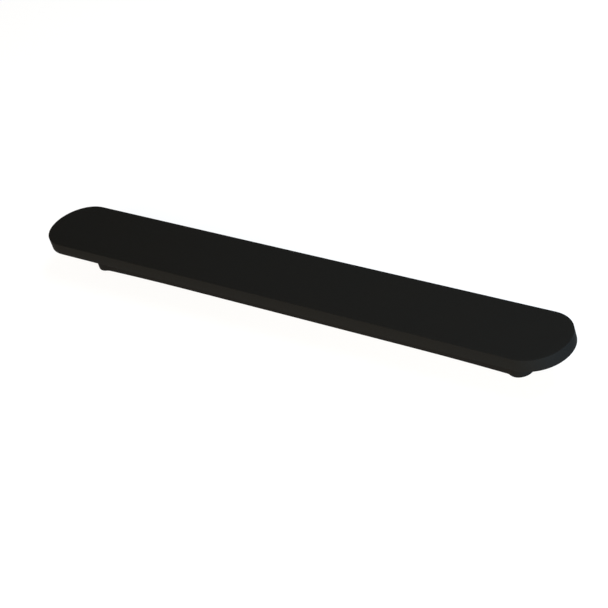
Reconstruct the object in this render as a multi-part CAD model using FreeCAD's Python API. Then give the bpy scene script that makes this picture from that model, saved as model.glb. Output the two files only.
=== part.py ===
import FreeCAD, Part
import os
from math import sqrt

# Padded wrist rest for the front edge of a keyboard, in millimetres, +Z up.
# A slim padded bar with round ends is screwed to a narrow rail. The rail ends in a
# round post under each end of the bar, and the bar overhangs rail and posts all round.
# The origin is under the middle of the bar, on the surface that the rest stands on.
# X runs along the bar, and Y across it.

os.makedirs("parts", exist_ok=True)
V = FreeCAD.Vector

# ---- the padded bar
bar_length = 460.0
bar_width = 50.0
bar_thickness = 8.7
bar_edge_radius = 0.2        # the small round along the skin's top and bottom edges
skin_thickness = 0.9         # synthetic leather
skin_turn_in = 5.5           # how far the skin is turned in under the bar
panel_gap = 0.3              # between the turned-in skin and the panel that hides its edge
board_over_nut = 0.5         # what is left of the carrier board above a nut
stiffener_width = 24.0
stiffener_thickness = 1.5
stiffener_end_gap = 12.0     # from a post's axis back to the end of the steel bar
pocket_slack = 0.2           # round the steel bar and the nuts in the carrier board

# ---- the rail and its two posts
total_height = 32.2
post_spacing = 375.0
post_diameter = 17.0
web_width = 11.8             # the rail's slim middle
web_flare_start = 105.0      # from the middle to where the rail begins to widen
web_flare = 1.3              # how much wider each side is when the rail meets a post
post_blend_radius = 9.0      # in the corner between the rail's side and the post
rail_wall = 2.1              # beside the hollows in the rail's underside
rail_roof = 3.2              # above those hollows
rail_edge_radius = 0.2       # round the rail's bottom edge
cell_count = 9               # hollows in a row between the posts
cell_rib = 2.0               # between two hollows
cell_from_post = 12.0        # from a post's axis to the first hollow

# ---- what the rail stands on
foot_thickness = 1.4         # rubber rings under the posts and a rubber strip between them
foot_recess = 0.8            # how deep they sit in the rail
foot_rim = 1.6               # from a ring's edge to the post's edge
foot_hole = 7.6              # the ring's hole, round the mouth of the threaded insert
strip_rim = 1.2              # from the strip's edge to the rail's edge
glue_gap = 0.15              # round a ring or the strip in its recess

# ---- threaded inserts in the posts, for M5 screws from below
insert_diameter = 7.0
insert_length = 9.5
insert_bore = 4.2            # M5 at the thread's crests
relief_diameter = 5.4        # blind hole past the insert, for the screw's tip
relief_depth = 1.5

# ---- the screws that hold the bar to the rail
screw_diameter = 3.0         # M3 pan head
screw_head_diameter = 5.6
screw_head_height = 2.2
screw_recess_width = 1.1     # the cross recess in the head
screw_recess_length = 3.2
screw_recess_depth = 1.2
screw_hole_slack = 0.2       # round the shank, each side
washer_diameter = 7.0
washer_thickness = 0.5
nut_diameter = 6.3           # nut pressed into the steel bar
nut_height = 1.5             # above the steel bar
nut_neck = 4.2               # the part of the nut that fills the steel bar's hole
screw_every = 2              # a screw in every second hollow

# ---- dowels between rail and board, and rivets at the ends of the panel
dowel_diameter = 3.0
dowel_depth = 6.0            # in the post
dowel_reach = 2.4            # into the carrier board
rivet_from_end = 20.0        # from the bar's end to a rivet
rivet_shank = 3.2
rivet_reach = 2.4            # into the carrier board
rivet_head = 7.0
rivet_head_height = 1.0
rivet_edge_radius = 0.6      # round the rim of a rivet's head

# ---- levels and extents, worked out from the sizes above
rail_bottom = foot_thickness - foot_recess
rail_top = total_height - bar_thickness
hollow_roof = rail_top - rail_roof
bar_bottom = rail_top
board_bottom = bar_bottom + skin_thickness
stiffener_top = board_bottom + stiffener_thickness
nut_top = stiffener_top + nut_height
board_top = nut_top + board_over_nut
foam_top = total_height - skin_thickness
post_x = post_spacing / 2
post_radius = post_diameter / 2
web_half = web_width / 2
inside_length = bar_length - 2 * skin_thickness
inside_width = bar_width - 2 * skin_thickness
opening_length = bar_length - 2 * skin_turn_in
opening_width = bar_width - 2 * skin_turn_in
stiffener_length = post_spacing - 2 * stiffener_end_gap
cell_width = web_width - 2 * rail_wall
cell_pitch = (post_spacing - 2 * cell_from_post) / cell_count
cell_xs = [(i - (cell_count - 1) / 2) * cell_pitch for i in range(cell_count)]
screw_xs = cell_xs[::screw_every]
post_xs = (-post_x, post_x)
rivet_xs = (-bar_length / 2 + rivet_from_end, bar_length / 2 - rivet_from_end)
strip_length = post_spacing - post_diameter - 2 * strip_rim
strip_width = web_width - 2 * strip_rim
foot_diameter = post_diameter - 2 * foot_rim


def slot_block(length, width, bottom, top, x=0.0):
    """A slab with half-round ends between two levels."""
    r = width / 2
    a = length / 2 - r
    low = [V(x - a, -r, bottom), V(x + a, -r, bottom)]
    high = [V(x + a, r, bottom), V(x - a, r, bottom)]
    wire = Part.Wire([
        Part.LineSegment(low[0], low[1]).toShape(),
        Part.Arc(low[1], V(x + a + r, 0, bottom), high[0]).toShape(),
        Part.LineSegment(high[0], high[1]).toShape(),
        Part.Arc(high[1], V(x - a - r, 0, bottom), low[0]).toShape(),
    ])
    return Part.Face(wire).extrude(V(0, 0, top - bottom))


def rod(diameter, bottom, top, x=0.0):
    """An upright round bar on the centre line."""
    return Part.makeCylinder(diameter / 2, top - bottom, V(x, 0, bottom))


def cut_all(shape, tools):
    """Take a list of tools away from a shape."""
    for tool in tools:
        shape = shape.cut(tool)
    return shape


def edges_at(shape, level):
    """The edges that lie wholly at one level."""
    near = 1e-6
    return [edge for edge in shape.Edges
            if abs(edge.BoundBox.ZMin - level) < near and abs(edge.BoundBox.ZMax - level) < near]


def save(name, shape):
    """Write one sub-part, which is one solid or a group of separate solids."""
    shape.exportStep("parts/" + name + ".step")


# ---- the bar

def skin():
    """Synthetic leather wrapped over the foam and the board, open underneath."""
    outer = slot_block(bar_length, bar_width, bar_bottom, total_height)
    rims = edges_at(outer, bar_bottom) + edges_at(outer, total_height)
    outer = outer.makeFillet(bar_edge_radius, rims)
    inside = slot_block(inside_length, inside_width, board_bottom, foam_top)
    opening = slot_block(opening_length, opening_width, bar_bottom - 1, board_bottom + 1)
    return cut_all(outer, [inside, opening])


def foam():
    """The firm foam between the board and the skin."""
    return slot_block(inside_length, inside_width, board_top, foam_top)


def board():
    """The moulded carrier board, with a pocket for the steel bar and holes for the nuts."""
    body = slot_block(inside_length, inside_width, board_bottom, board_top)
    pocket = slot_block(stiffener_length + 2 * pocket_slack, stiffener_width + 2 * pocket_slack,
                        board_bottom, stiffener_top)
    nut_holes = [rod(nut_diameter + 2 * pocket_slack, board_bottom, nut_top, x) for x in screw_xs]
    dowels = [rod(dowel_diameter, board_bottom, board_bottom + dowel_reach, x) for x in post_xs]
    rivets = [rod(rivet_shank, board_bottom, board_bottom + rivet_reach, x) for x in rivet_xs]
    return cut_all(body, [pocket] + nut_holes + dowels + rivets)


def stiffener():
    """The steel bar that keeps the board straight and holds the pressed-in nuts."""
    body = slot_block(stiffener_length, stiffener_width, board_bottom, stiffener_top)
    return cut_all(body, [rod(nut_neck, board_bottom, stiffener_top, x) for x in screw_xs])


def nuts():
    """Round nuts pressed into the steel bar, one for each screw."""
    group = []
    for x in screw_xs:
        body = rod(nut_neck, board_bottom, nut_top, x).fuse(rod(nut_diameter, stiffener_top, nut_top, x))
        group.append(body.cut(rod(screw_diameter, board_bottom, nut_top, x)).removeSplitter())
    return Part.makeCompound(group)


def panel():
    """The thin panel under the bar, flush with the turned-in skin and hiding its edge."""
    body = slot_block(opening_length - 2 * panel_gap, opening_width - 2 * panel_gap,
                      bar_bottom, board_bottom)
    screw_hole = screw_diameter + 2 * screw_hole_slack
    holes = [rod(screw_hole, bar_bottom, board_bottom, x) for x in screw_xs]
    holes += [rod(dowel_diameter, bar_bottom, board_bottom, x) for x in post_xs]
    holes += [rod(rivet_shank, bar_bottom, board_bottom, x) for x in rivet_xs]
    return cut_all(body, holes)


def rivets():
    """Push-in rivets that hold the panel's two ends up to the board."""
    group = []
    for x in rivet_xs:
        head = rod(rivet_head, bar_bottom - rivet_head_height, bar_bottom, x)
        rim = edges_at(head, bar_bottom - rivet_head_height)
        head = head.makeFillet(rivet_edge_radius, rim)
        group.append(head.fuse(rod(rivet_shank, bar_bottom, board_bottom + rivet_reach, x)))
    return Part.makeCompound(group)


# ---- the rail

def rail_quarter():
    """The points of the rail's outline, seen from above, where x > 0 and y < 0.

    A long shallow arc widens the straight side, and a small hollow arc leads from
    there into the round post. Each arc is tangent to what it meets.
    """
    run = post_x - web_flare_start
    flare_radius = (run * run + web_flare * web_flare) / (2 * web_flare)
    flare_centre = V(web_flare_start, -web_half - flare_radius, 0)
    post_centre = V(post_x, 0, 0)
    to_flare_centre = flare_radius - post_blend_radius
    to_post_centre = post_radius + post_blend_radius
    apart = post_centre - flare_centre
    d = apart.Length
    along = (to_flare_centre ** 2 - to_post_centre ** 2 + d * d) / (2 * d)
    aside = sqrt(to_flare_centre ** 2 - along * along)
    way = V(apart).normalize()
    blend_centre = flare_centre + way * along + V(-way.y, way.x, 0) * aside
    out_of_flare = (blend_centre - flare_centre).normalize()
    to_post = (post_centre - blend_centre).normalize()
    half_way = (V(0, 1, 0) + out_of_flare).normalize()
    half_blend = (out_of_flare + to_post).normalize()
    flare_mid = flare_centre + half_way * flare_radius
    flare_end = flare_centre + out_of_flare * flare_radius
    blend_mid = blend_centre + half_blend * post_blend_radius
    blend_end = blend_centre + to_post * post_blend_radius
    return flare_mid, flare_end, blend_mid, blend_end


def rail_block(bottom, top):
    """The rail's whole outline, four mirrored quarters and two round ends, as a block."""
    flare_mid, flare_end, blend_mid, blend_end = rail_quarter()
    start = V(web_flare_start, -web_half, 0)
    tip = V(post_x + post_radius, 0, 0)

    def at(point, sx, sy):
        return V(sx * point.x, sy * point.y, bottom)

    def arc(points, sx, sy):
        return Part.Arc(*[at(p, sx, sy) for p in points]).toShape()

    edges = []
    for sy in (1, -1):
        edges.append(Part.LineSegment(at(start, -1, sy), at(start, 1, sy)).toShape())
        for sx in (1, -1):
            edges.append(arc((start, flare_mid, flare_end), sx, sy))
            edges.append(arc((flare_end, blend_mid, blend_end), sx, sy))
    for sx in (1, -1):
        edges.append(Part.Arc(at(blend_end, sx, 1), at(tip, sx, 1), at(blend_end, sx, -1)).toShape())
    wire = Part.Wire(Part.__sortEdges__(edges))
    return Part.Face(wire).extrude(V(0, 0, top - bottom))


def rail():
    """The moulded rail with its posts, hollowed from below."""
    body = rail_block(rail_bottom, rail_top)
    body = body.makeFillet(rail_edge_radius, edges_at(body, rail_bottom))
    recess = foot_thickness      # the level of the recesses' roofs
    cells = [slot_block(cell_pitch - cell_rib, cell_width, rail_bottom, hollow_roof, x) for x in cell_xs]
    screw_hole = screw_diameter + 2 * screw_hole_slack
    tools = cells + [slot_block(strip_length + 2 * glue_gap, strip_width + 2 * glue_gap,
                                rail_bottom, recess)]
    tools += [rod(screw_hole, hollow_roof, rail_top, x) for x in screw_xs]
    for x in post_xs:
        tools.append(rod(foot_diameter + 2 * glue_gap, rail_bottom, recess, x))
        tools.append(rod(insert_diameter, rail_bottom, recess + insert_length, x))
        tools.append(rod(relief_diameter, recess, recess + insert_length + relief_depth, x))
        tools.append(rod(dowel_diameter, rail_top - dowel_depth, rail_top, x))
    return cut_all(body, tools)


def insert(x):
    """A brass insert with an M5 thread, its mouth at the roof of the foot's recess."""
    top = foot_thickness + insert_length
    return rod(insert_diameter, foot_thickness, top, x).cut(rod(insert_bore, foot_thickness, top, x))


def foot(x):
    """A rubber ring under a post, round the mouth of its insert."""
    return rod(foot_diameter, 0, foot_thickness, x).cut(rod(foot_hole, 0, foot_thickness, x))


def strip():
    """The rubber strip that closes the rail's hollows and grips the desk."""
    return slot_block(strip_length, strip_width, 0, foot_thickness)


# ---- fasteners between rail and bar

def screws():
    """Pan-head screws, up through the rail's roof and the panel into the nuts."""
    seat = hollow_roof - washer_thickness
    face = seat - screw_head_height
    half_length = screw_recess_length / 2
    half_width = screw_recess_width / 2
    group = []
    for x in screw_xs:
        body = rod(screw_head_diameter, face, seat, x).fuse(rod(screw_diameter, seat, nut_top, x))
        for dx, dy in ((half_length, half_width), (half_width, half_length)):
            body = body.cut(Part.makeBox(2 * dx, 2 * dy, screw_recess_depth, V(x - dx, -dy, face)))
        group.append(body)
    return Part.makeCompound(group)


def washers():
    """A plain washer under each screw's head."""
    low = hollow_roof - washer_thickness
    ring = [rod(washer_diameter, low, hollow_roof, x).cut(rod(screw_diameter, low, hollow_roof, x))
            for x in screw_xs]
    return Part.makeCompound(ring)


def dowels():
    """Steel dowels from the posts through the panel into the board."""
    return Part.makeCompound([rod(dowel_diameter, rail_top - dowel_depth, board_bottom + dowel_reach, x)
                              for x in post_xs])


save("pad_cover", skin())
save("foam_pad", foam())
save("carrier_board", board())
save("stiffener_bar", stiffener())
save("press_nuts", nuts())
save("under_panel", panel())
save("panel_rivets", rivets())
save("base_rail", rail())
save("rail_screws", screws())
save("rail_washers", washers())
save("locating_dowels", dowels())
save("anti_slip_strip", strip())
for side, post in (("left", -post_x), ("right", post_x)):
    save(side + "_thread_insert", insert(post))
    save(side + "_foot_ring", foot(post))
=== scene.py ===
import math

import bmesh
import bpy
from mathutils import Matrix, Vector, noise


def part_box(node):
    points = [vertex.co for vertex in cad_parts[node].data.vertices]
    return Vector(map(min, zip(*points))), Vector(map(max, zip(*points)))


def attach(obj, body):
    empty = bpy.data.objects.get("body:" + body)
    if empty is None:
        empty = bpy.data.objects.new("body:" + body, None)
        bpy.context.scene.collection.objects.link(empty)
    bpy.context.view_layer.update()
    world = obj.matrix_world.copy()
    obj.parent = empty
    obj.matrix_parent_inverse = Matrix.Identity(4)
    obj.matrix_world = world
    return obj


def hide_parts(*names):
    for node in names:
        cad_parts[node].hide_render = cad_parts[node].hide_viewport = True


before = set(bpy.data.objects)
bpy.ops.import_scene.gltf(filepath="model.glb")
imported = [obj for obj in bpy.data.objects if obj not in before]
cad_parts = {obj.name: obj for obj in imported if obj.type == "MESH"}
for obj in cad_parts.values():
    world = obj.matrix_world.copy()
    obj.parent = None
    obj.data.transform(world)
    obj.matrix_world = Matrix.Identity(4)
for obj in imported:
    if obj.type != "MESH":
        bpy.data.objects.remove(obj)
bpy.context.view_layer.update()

# Looks of the padded wrist rest, in metres, in the part's own frame.
# X runs along the bar, Y across it and Z up, with the desk at Z = 0.

MM = 0.001
TAU = math.tau
TOUCH = 0.01 * MM                        # heights and radii nearer than this count as equal


# ---- small helpers

def linear(text):
    """A colour from its sRGB hex value, as the linear RGBA that shaders take."""
    parts = [int(text[i:i + 2], 16) / 255 for i in (1, 3, 5)]
    return [c / 12.92 if c <= 0.04045 else ((c + 0.055) / 1.055) ** 2.4 for c in parts] + [1.0]


def add(tree, kind, inputs=None, **settings):
    """Add a node, set its properties, and fill its inputs with values or links."""
    node = tree.nodes.new(kind)
    for name, value in settings.items():
        setattr(node, name, value)
    for name, value in (inputs or {}).items():
        if isinstance(value, bpy.types.NodeSocket):
            tree.links.new(value, node.inputs[name])
        else:
            node.inputs[name].default_value = value
    return node


def new_material(name):
    """An empty node material with its output, and its Object coordinates."""
    material = bpy.data.materials.new(name)
    material.use_nodes = True
    tree = material.node_tree
    tree.nodes.clear()
    place = add(tree, "ShaderNodeTexCoord").outputs["Object"]
    return material, tree, place


def close_material(material, tree, surface):
    """Join a finished shader to the material's output."""
    add(tree, "ShaderNodeOutputMaterial", {"Surface": surface.outputs["BSDF"]})
    return material


def make_piece(name, bm, sharp=35):
    """Turn a bmesh into a finished object with smooth faces and crisp edges."""
    mesh = bpy.data.meshes.new(name)
    bm.to_mesh(mesh)
    bm.free()
    mesh.shade_smooth()
    mesh.set_sharp_from_angle(angle=math.radians(sharp))
    piece = bpy.data.objects.new(name, mesh)
    bpy.context.scene.collection.objects.link(piece)
    return piece


def dress(piece, material):
    """Give a piece or a part of the frame its one material."""
    piece.data.materials.clear()
    piece.data.materials.append(material)


# ---- places, read from the frame

bar_low, bar_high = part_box("pad_cover")
foam_low, foam_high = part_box("foam_pad")
strip_low, strip_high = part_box("anti_slip_strip")
ring_low, ring_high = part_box("right_foot_ring")
insert_low, insert_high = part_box("right_thread_insert")

bar_radius = bar_high.y
bar_end = bar_high.x - bar_radius        # the middle of each half-round end
skin = foam_low.y - bar_low.y            # thickness of the synthetic leather
turn_in_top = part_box("under_panel")[1].z   # the skin's turn-in is as thick as the panel
post_x = (ring_low.x + ring_high.x) / 2


# ---- camera and light

def aim(azimuth, elevation):
    """The direction to a point seen from the object: azimuth 0 is -Y, and 90 is +X."""
    a = math.radians(azimuth)
    e = math.radians(elevation)
    return Vector((math.sin(a) * math.cos(e), -math.cos(a) * math.cos(e), math.sin(e)))


def set_camera():
    """A long lens above the right front corner, rolled so that the bar falls to the right."""
    lens_mm = 120.55
    sensor_mm = 36
    azimuth = 49.63
    elevation = 33.37
    roll = math.radians(18.78)
    shift_right = 0.02667                # this and the next two are in lengths of the bar
    shift_down = 0.04219
    distance = 2.99607
    bar_length = bar_high.x - bar_low.x
    back = aim(azimuth, elevation)
    side = Vector((0, 0, 1)).cross(back).normalized()
    up = back.cross(side)
    right = side * math.cos(roll) - up * math.sin(roll)
    upward = up * math.cos(roll) + side * math.sin(roll)
    middle = Vector((0, 0, bar_high.z))
    spot = middle + bar_length * (shift_right * right - shift_down * upward + distance * back)
    camera = bpy.data.cameras.new("camera")
    camera.lens = lens_mm
    camera.sensor_width = sensor_mm
    holder = bpy.data.objects.new("camera", camera)
    turn = Matrix((right, upward, back)).transposed().to_4x4()
    holder.matrix_world = Matrix.Translation(spot) @ turn
    bpy.context.scene.collection.objects.link(holder)
    bpy.context.scene.camera = holder


def softbox(name, azimuth, elevation, distance, size, watts, colour):
    """A square soft lamp that looks at the part's origin, on the desk under the bar's middle."""
    lamp = bpy.data.lights.new(name, "AREA")
    lamp.shape = "SQUARE"
    lamp.size = size
    lamp.energy = watts
    lamp.color = linear(colour)[:3]
    holder = bpy.data.objects.new(name, lamp)
    back = aim(azimuth, elevation)
    holder.location = back * distance
    holder.rotation_euler = back.to_track_quat("Z", "Y").to_euler()
    bpy.context.scene.collection.objects.link(holder)


def set_world():
    """A pale wall of light all round, up to a little above the horizon, and a dim dome."""
    wall_top = 0.14                      # as the height of a direction, 1 being straight up
    dome_foot = 0.32
    world = bpy.data.worlds.new("studio")
    world.use_nodes = True
    tree = world.node_tree
    direction = add(tree, "ShaderNodeTexCoord").outputs["Generated"]
    height = add(tree, "ShaderNodeSeparateXYZ", {"Vector": direction})
    rise = add(tree, "ShaderNodeMapRange", {"Value": height.outputs["Z"], "From Min": wall_top,
                                            "From Max": dome_foot}, interpolation_type="SMOOTHSTEP")
    glow = add(tree, "ShaderNodeMix", {"Factor": rise.outputs["Result"], "A": linear("#f3f3f3"),
                                       "B": linear("#656565")}, data_type="RGBA")
    tree.links.new(glow.outputs["Result"], tree.nodes["Background"].inputs["Color"])
    bpy.context.scene.world = world


def lit_table():
    """Opal acrylic lit from beneath: a white ground that swallows most of a shadow."""
    material, tree, place = new_material("opal_acrylic_light_table")
    cloud_mm = 330
    cloud = add(tree, "ShaderNodeTexNoise", {"Vector": place, "Scale": 1 / (cloud_mm * MM),
                                             "Detail": 2.0})
    tone = add(tree, "ShaderNodeMix", {"Factor": cloud.outputs["Fac"], "A": linear("#6a6a6a"),
                                       "B": linear("#6e6e6e")}, data_type="RGBA")
    acrylic = add(tree, "ShaderNodeBsdfPrincipled", {
        "Base Color": tone.outputs["Result"], "Roughness": 0.9, "Specular IOR Level": 0.1,
        "Emission Color": linear("#ffffff"), "Emission Strength": 0.87})
    return close_material(material, tree, acrylic)


def set_studio():
    """A lit white table in a pale room, a warm lamp in front and two cool ones on the right."""
    bpy.context.scene.view_settings.view_transform = "Standard"
    set_world()
    softbox("high_right", azimuth=130, elevation=62, distance=0.8, size=0.6, watts=8,
            colour="#d6e9fb")
    softbox("warm_front", azimuth=20, elevation=25, distance=2.6, size=1.6, watts=111,
            colour="#ffe0a8")
    softbox("cool_side", azimuth=68, elevation=8, distance=1.8, size=0.5, watts=68,
            colour="#abd6ff")
    half_width = 6.0
    bm = bmesh.new()
    bmesh.ops.create_grid(bm, x_segments=1, y_segments=1, size=half_width)
    floor = make_piece("floor", bm)
    dress(floor, lit_table())


# ---- materials

def synthetic_leather():
    """Polyurethane leather, matt and near black: an even fine grain that breaks up any shine."""
    material, tree, place = new_material("embossed_polyurethane_leather")
    pebble_mm = 0.9
    pore_mm = 0.25
    depth_mm = 0.06
    wear_mm = 45
    pebbles = add(tree, "ShaderNodeTexVoronoi", {"Vector": place, "Scale": 1 / (pebble_mm * MM)},
                  feature="SMOOTH_F1")
    pores = add(tree, "ShaderNodeTexNoise", {"Vector": place, "Scale": 1 / (pore_mm * MM)})
    wear = add(tree, "ShaderNodeTexNoise", {"Vector": place, "Scale": 1 / (wear_mm * MM),
                                            "Detail": 3.0})
    grain = add(tree, "ShaderNodeMath", {0: pebbles.outputs["Distance"], 1: pores.outputs["Fac"]},
                operation="ADD")
    bump = add(tree, "ShaderNodeBump", {"Height": grain.outputs["Value"], "Strength": 0.35,
                                        "Distance": depth_mm * MM})
    tone = add(tree, "ShaderNodeMix", {"Factor": wear.outputs["Fac"], "A": linear("#111110"),
                                       "B": linear("#131210")}, data_type="RGBA")
    polish = add(tree, "ShaderNodeMapRange", {"Value": wear.outputs["Fac"], "To Min": 0.58,
                                              "To Max": 0.68})
    surface = add(tree, "ShaderNodeBsdfPrincipled", {
        "Base Color": tone.outputs["Result"], "Roughness": polish.outputs["Result"],
        "IOR": 1.45, "Specular IOR Level": 0.025, "Normal": bump.outputs["Normal"]})
    return close_material(material, tree, surface)


def moulded_plastic(name, dark, light, roughness, erosion_mm, depth_mm, shine):
    """Plastic or rubber with the even, sand-like texture of the tool that shaped it, which dulls it."""
    material, tree, place = new_material(name)
    drift_mm = 33
    spread = 0.05                        # of the roughness, either way
    sand = add(tree, "ShaderNodeTexNoise", {"Vector": place, "Scale": 1 / (erosion_mm * MM),
                                            "Detail": 4.0, "Roughness": 0.6})
    drift = add(tree, "ShaderNodeTexNoise", {"Vector": place, "Scale": 1 / (drift_mm * MM),
                                             "Detail": 2.0})
    bump = add(tree, "ShaderNodeBump", {"Height": sand.outputs["Fac"], "Strength": 0.4,
                                        "Distance": depth_mm * MM})
    tone = add(tree, "ShaderNodeMix", {"Factor": drift.outputs["Fac"], "A": linear(dark),
                                       "B": linear(light)}, data_type="RGBA")
    gloss = add(tree, "ShaderNodeMapRange", {"Value": sand.outputs["Fac"],
                                             "To Min": roughness - spread,
                                             "To Max": roughness + spread})
    surface = add(tree, "ShaderNodeBsdfPrincipled", {
        "Base Color": tone.outputs["Result"], "Roughness": gloss.outputs["Result"],
        "IOR": 1.5, "Specular IOR Level": shine, "Normal": bump.outputs["Normal"]})
    return close_material(material, tree, surface)


def lined_metal(name, dark, light, roughness, brush_mm):
    """Rolled or turned metal: fine lines stretched along X, which draw out its highlights."""
    material, tree, place = new_material(name)
    squeeze = 0.05                       # along X, which draws each line out to 20 times its width
    spread = 0.06                        # of the roughness, either way
    stretch = add(tree, "ShaderNodeMapping", {"Vector": place, "Scale": (squeeze, 1.0, 1.0)})
    lines = add(tree, "ShaderNodeTexNoise", {"Vector": stretch.outputs["Vector"],
                                             "Scale": 1 / (brush_mm * MM), "Detail": 2.0})
    tone = add(tree, "ShaderNodeMix", {"Factor": lines.outputs["Fac"], "A": linear(dark),
                                       "B": linear(light)}, data_type="RGBA")
    gloss = add(tree, "ShaderNodeMapRange", {"Value": lines.outputs["Fac"],
                                             "To Min": roughness - spread,
                                             "To Max": roughness + spread})
    surface = add(tree, "ShaderNodeBsdfPrincipled", {
        "Base Color": tone.outputs["Result"], "Roughness": gloss.outputs["Result"],
        "Metallic": 1.0})
    return close_material(material, tree, surface)


def foam_rubber():
    """Closed-cell foam: a dense field of tiny open bubbles on its cut faces."""
    material, tree, place = new_material("cut_closed_cell_foam")
    cell_mm = 0.5
    depth_mm = 0.2
    cells = add(tree, "ShaderNodeTexVoronoi", {"Vector": place, "Scale": 1 / (cell_mm * MM)})
    bump = add(tree, "ShaderNodeBump", {"Height": cells.outputs["Distance"], "Strength": 0.8,
                                        "Distance": depth_mm * MM})
    tone = add(tree, "ShaderNodeMix", {"Factor": cells.outputs["Distance"], "A": linear("#303032"),
                                       "B": linear("#45464a")}, data_type="RGBA")
    surface = add(tree, "ShaderNodeBsdfPrincipled", {
        "Base Color": tone.outputs["Result"], "Roughness": 0.95, "IOR": 1.5,
        "Specular IOR Level": 0.2, "Normal": bump.outputs["Normal"]})
    return close_material(material, tree, surface)


# ---- sweeping a section round a bar with half-round ends

def reach_from_spine(point, end):
    """How far a point is, seen from above, from the line between the two ends' middles."""
    return math.hypot(max(abs(point.x) - end, 0), point.y)


def sweep_racetrack(section, end, turn_steps, straight_steps):
    """Sweep a half section (reach, height) round both ends and along both sides."""
    weld = 0.002 * MM
    bm = bmesh.new()
    first = [bm.verts.new((end, -reach, height)) for reach, height in section]
    line = [bm.edges.new(pair) for pair in zip(first, first[1:])]
    for side in (1, -1):
        turned = bmesh.ops.spin(bm, geom=line, cent=(side * end, 0, 0), axis=(0, 0, 1),
                                angle=math.pi, steps=turn_steps)
        line = [g for g in turned["geom_last"] if isinstance(g, bmesh.types.BMEdge)]
        for _ in range(straight_steps):
            moved = bmesh.ops.extrude_edge_only(bm, edges=line)["geom"]
            points = [g for g in moved if isinstance(g, bmesh.types.BMVert)]
            line = [g for g in moved if isinstance(g, bmesh.types.BMEdge)]
            bmesh.ops.translate(bm, verts=points, vec=(-side * 2 * end / straight_steps, 0, 0))
    bmesh.ops.remove_doubles(bm, verts=bm.verts, dist=weld)
    bmesh.ops.recalc_face_normals(bm, faces=bm.faces)
    return bm


def round_edges(bm, width, segments, wanted):
    """Bevel the sharp edges that a test on their two ends picks."""
    sharp = math.radians(50)
    edges = [e for e in bm.edges if len(e.link_faces) == 2 and e.calc_face_angle() > sharp
             and all(wanted(v.co) for v in e.verts)]
    bmesh.ops.bevel(bm, geom=edges, offset=width, segments=segments, affect="EDGES",
                    profile=0.5, material=-1)


# ---- the bar

def build_skin():
    """The leather skin: a crowned top, upright sides, and a gathered turn-in underneath."""
    crown = 0.25 * MM
    rim_radius = 0.2 * MM
    turn_in = 5.5 * MM
    turn_in_steps = 5
    rows = 12                            # from the middle of the top to its edge
    flatness = 4                         # the power of the crown's curve: more is flatter inside
    inner = bar_radius - skin
    opening = bar_radius - turn_in
    section = []
    for i in range(rows):
        share = i / rows
        section.append((bar_radius * share, bar_high.z + crown * (1 - share ** flatness)))
    section += [(bar_radius, bar_high.z), (bar_radius, bar_low.z)]
    for k in range(turn_in_steps - 1, 0, -1):
        section.append((opening + turn_in * k / turn_in_steps, bar_low.z))
    section += [(opening, bar_low.z), (opening, turn_in_top), (inner, turn_in_top),
                (inner, foam_high.z), (0, foam_high.z)]
    bm = sweep_racetrack(section, bar_end, turn_steps=96, straight_steps=100)
    round_edges(bm, rim_radius, segments=4,
                wanted=lambda p: reach_from_spine(p, bar_end) > bar_radius - TOUCH)
    for vert in bm.verts:
        settle_skin(vert.co, opening)
    return make_piece("leather_skin", bm)


def settle_skin(point, opening):
    """Let the skin lie a little unevenly on top, and gather it under the round ends."""
    unevenness = 0.03 * MM
    swells_per_metre = 45
    gather_depth = 0.3 * MM
    gathers = 26                         # round each half-round end
    flat_rim = 0.2                       # the share of the turn-in, by the bar's edge, with none
    fade_in = 4 * MM                     # where the straight sides meet the round ends
    reach = reach_from_spine(point, bar_end)
    if point.z > bar_high.z - TOUCH:
        swell = noise.noise(point * swells_per_metre)
        point.z += unevenness * swell * (1 - (reach / bar_radius) ** 2)
    past = abs(point.x) - bar_end
    if point.z < bar_low.z + TOUCH and past > 0:
        angle = math.atan2(point.y, past)
        share = (bar_radius - reach) / (bar_radius - opening)
        inward = min(1, max(0, share - flat_rim) / (1 - flat_rim))
        fade = min(1, past / fade_in)
        point.z += gather_depth * inward * fade * (0.5 - 0.5 * math.cos(2 * gathers * angle))


def build_foam():
    """The foam under the skin, with its cut corners a little rounded."""
    corner_radius = 0.4 * MM
    inner = bar_radius - skin
    section = [(0, foam_high.z), (inner, foam_high.z), (inner, foam_low.z), (0, foam_low.z)]
    bm = sweep_racetrack(section, bar_end, turn_steps=48, straight_steps=20)
    round_edges(bm, corner_radius, segments=3,
                wanted=lambda p: reach_from_spine(p, bar_end) > inner - TOUCH)
    return make_piece("foam_core", bm)


# ---- the rail and what it stands on

def copy_of_node(node, name, sharp):
    """A smooth-shaded copy of a part of the frame, with its loose triangles joined."""
    weld = 0.0005 * MM
    bm = bmesh.new()
    bm.from_mesh(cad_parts[node].data)
    bmesh.ops.remove_doubles(bm, verts=bm.verts, dist=weld)
    return make_piece(name, bm, sharp)


def build_strip():
    """The rubber strip, with fine grooves along its underside."""
    radius = strip_high.y
    end = strip_high.x - radius
    grooves = 3
    pitch = radius / (grooves + 0.5)
    depth = 0.35 * MM
    half_groove = 0.25 * MM
    edge_radius = 0.25 * MM
    section = [(0, strip_high.z), (radius, strip_high.z), (radius, strip_low.z)]
    for i in range(grooves, 0, -1):
        middle = i * pitch - pitch / 2
        section += [(middle + half_groove, strip_low.z), (middle, strip_low.z + depth),
                    (middle - half_groove, strip_low.z)]
    section.append((0, strip_low.z))
    bm = sweep_racetrack(section, end, turn_steps=32, straight_steps=40)
    round_edges(bm, edge_radius, segments=3,
                wanted=lambda p: reach_from_spine(p, end) > radius - TOUCH)
    return make_piece("grip_strip", bm)


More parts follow.
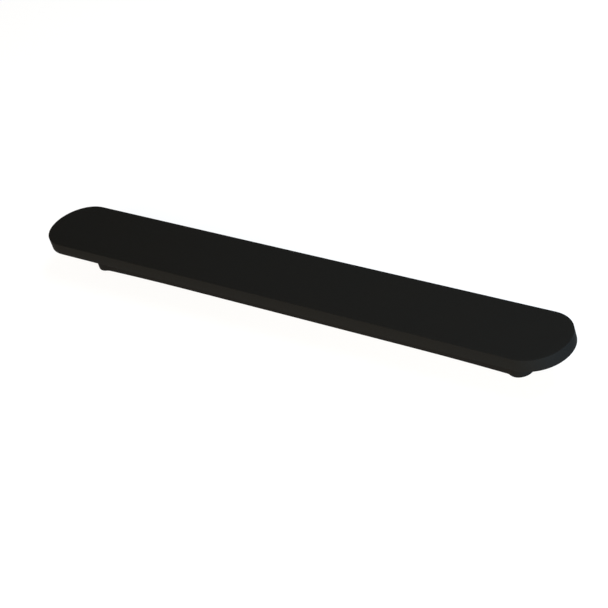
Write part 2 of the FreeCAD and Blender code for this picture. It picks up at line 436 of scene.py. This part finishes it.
def spin_round(name, section, x, steps):
    """Turn a closed section (radius, height) once round an upright axis at x."""
    weld = 0.001 * MM
    bm = bmesh.new()
    points = [bm.verts.new((x + radius, 0, height)) for radius, height in section]
    ring = [bm.edges.new(pair) for pair in zip(points, points[1:] + points[:1])]
    bmesh.ops.spin(bm, geom=ring, cent=(x, 0, 0), axis=(0, 0, 1), angle=TAU, steps=steps,
                   use_merge=True)
    bmesh.ops.remove_doubles(bm, verts=bm.verts, dist=weld)
    bmesh.ops.recalc_face_normals(bm, faces=bm.faces)
    return make_piece(name, bm)


def build_ring(name, x):
    """A rubber foot ring with two V-grooves in its lower face and eased edges."""
    outer = (ring_high.x - ring_low.x) / 2
    inner = 3.8 * MM
    ease = 0.25 * MM
    groove = 0.3 * MM
    low, high = ring_low.z, ring_high.z
    section = [(inner, high), (inner, low + ease), (inner + ease, low)]
    for share in (1 / 3, 2 / 3):
        middle = inner + (outer - inner) * share
        section += [(middle - groove, low), (middle, low + groove), (middle + groove, low)]
    section += [(outer - ease, low), (outer, low + ease), (outer, high)]
    return spin_round(name, section, x, steps=64)


def build_insert(name, x):
    """A turned brass insert with a chamfered mouth, its thread drawn as separate rings."""
    outer = (insert_high.x - insert_low.x) / 2
    crest = 2.1 * MM                     # the M5 thread's radius at its crests and its roots
    root = 2.45 * MM
    pitch = 0.8 * MM
    chamfer = 0.4 * MM
    low, high = insert_low.z, insert_high.z
    section = [(outer, low), (outer, high), (crest, high)]
    turns = int((high - low) / pitch) - 1
    for i in range(turns):
        top = high - (i + 0.5) * pitch
        section += [(root, top), (crest, top - pitch / 2)]
    section += [(crest, low + chamfer), (crest + chamfer, low)]
    return spin_round(name, section, x, steps=48)


# ---- put the object together

set_camera()
set_studio()

leather = synthetic_leather()

# The rail's black is painted a shade darker than the bar's, as painted shade under the bar over it, and
# it has almost no shine.
rail_abs_painted_shade = moulded_plastic("spark_eroded_black_abs_painted_shade", "#100f0e", "#12110f", roughness=0.6,
                           erosion_mm=0.35, depth_mm=0.04, shine=0.018)

# Inside and underneath: the board and the rivets have a slight gloss, the panel's coarser grain
# dulls it, and the rubber has almost none.
board_abs = moulded_plastic("moulded_black_abs", "#2a2a2a", "#303030", roughness=0.5,
                            erosion_mm=0.5, depth_mm=0.03, shine=0.4)
panel_pp = moulded_plastic("grained_polypropylene_sheet", "#1c1c1c", "#212121", roughness=0.6,
                           erosion_mm=0.6, depth_mm=0.08, shine=0.3)
rivet_nylon = moulded_plastic("moulded_black_nylon", "#1e1e1e", "#232323", roughness=0.45,
                              erosion_mm=0.3, depth_mm=0.02, shine=0.4)
grip_rubber = moulded_plastic("moulded_black_rubber", "#191919", "#1f1f1f", roughness=0.85,
                              erosion_mm=0.3, depth_mm=0.05, shine=0.2)

# Zinc plate is a soft pale grey, the screws' is bluer, darker and less rough, and brass is yellow.
zinc_steel = lined_metal("zinc_plated_steel", "#b4b8bc", "#ccd0d4", roughness=0.35, brush_mm=0.15)
screw_zinc = lined_metal("blue_zinc_plated_steel", "#a4aab4", "#c0c6ce", roughness=0.3, brush_mm=0.1)
brass = lined_metal("turned_brass", "#c8a04c", "#dcb764", roughness=0.28, brush_mm=0.08)
foam = foam_rubber()

skin_piece = build_skin()
dress(skin_piece, leather)
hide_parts("pad_cover")

foam_piece = build_foam()
dress(foam_piece, foam)
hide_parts("foam_pad")

rail_piece = copy_of_node("base_rail", "rail_with_posts", sharp=30)
# the rail's darker colour is painted shade from the bar above it
dress(rail_piece, rail_abs_painted_shade)
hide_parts("base_rail")

strip_piece = build_strip()
dress(strip_piece, grip_rubber)
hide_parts("anti_slip_strip")

rivet_piece = copy_of_node("panel_rivets", "push_rivets", sharp=30)
dress(rivet_piece, rivet_nylon)
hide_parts("panel_rivets")

pieces = [skin_piece, foam_piece, rail_piece, strip_piece, rivet_piece]
for side, x in (("left", -post_x), ("right", post_x)):
    ring = build_ring(side + "_rubber_ring", x)
    dress(ring, grip_rubber)
    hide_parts(side + "_foot_ring")
    insert = build_insert(side + "_brass_insert", x)
    dress(insert, brass)
    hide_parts(side + "_thread_insert")
    pieces += [ring, insert]
for piece in pieces:
    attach(piece, "root")

node_finishes = {
    "carrier_board": board_abs,
    "stiffener_bar": zinc_steel,
    "press_nuts": zinc_steel,
    "under_panel": panel_pp,
    "rail_screws": screw_zinc,
    "rail_washers": screw_zinc,
    "locating_dowels": zinc_steel,
}
for node, finish in node_finishes.items():
    dress(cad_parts[node], finish)
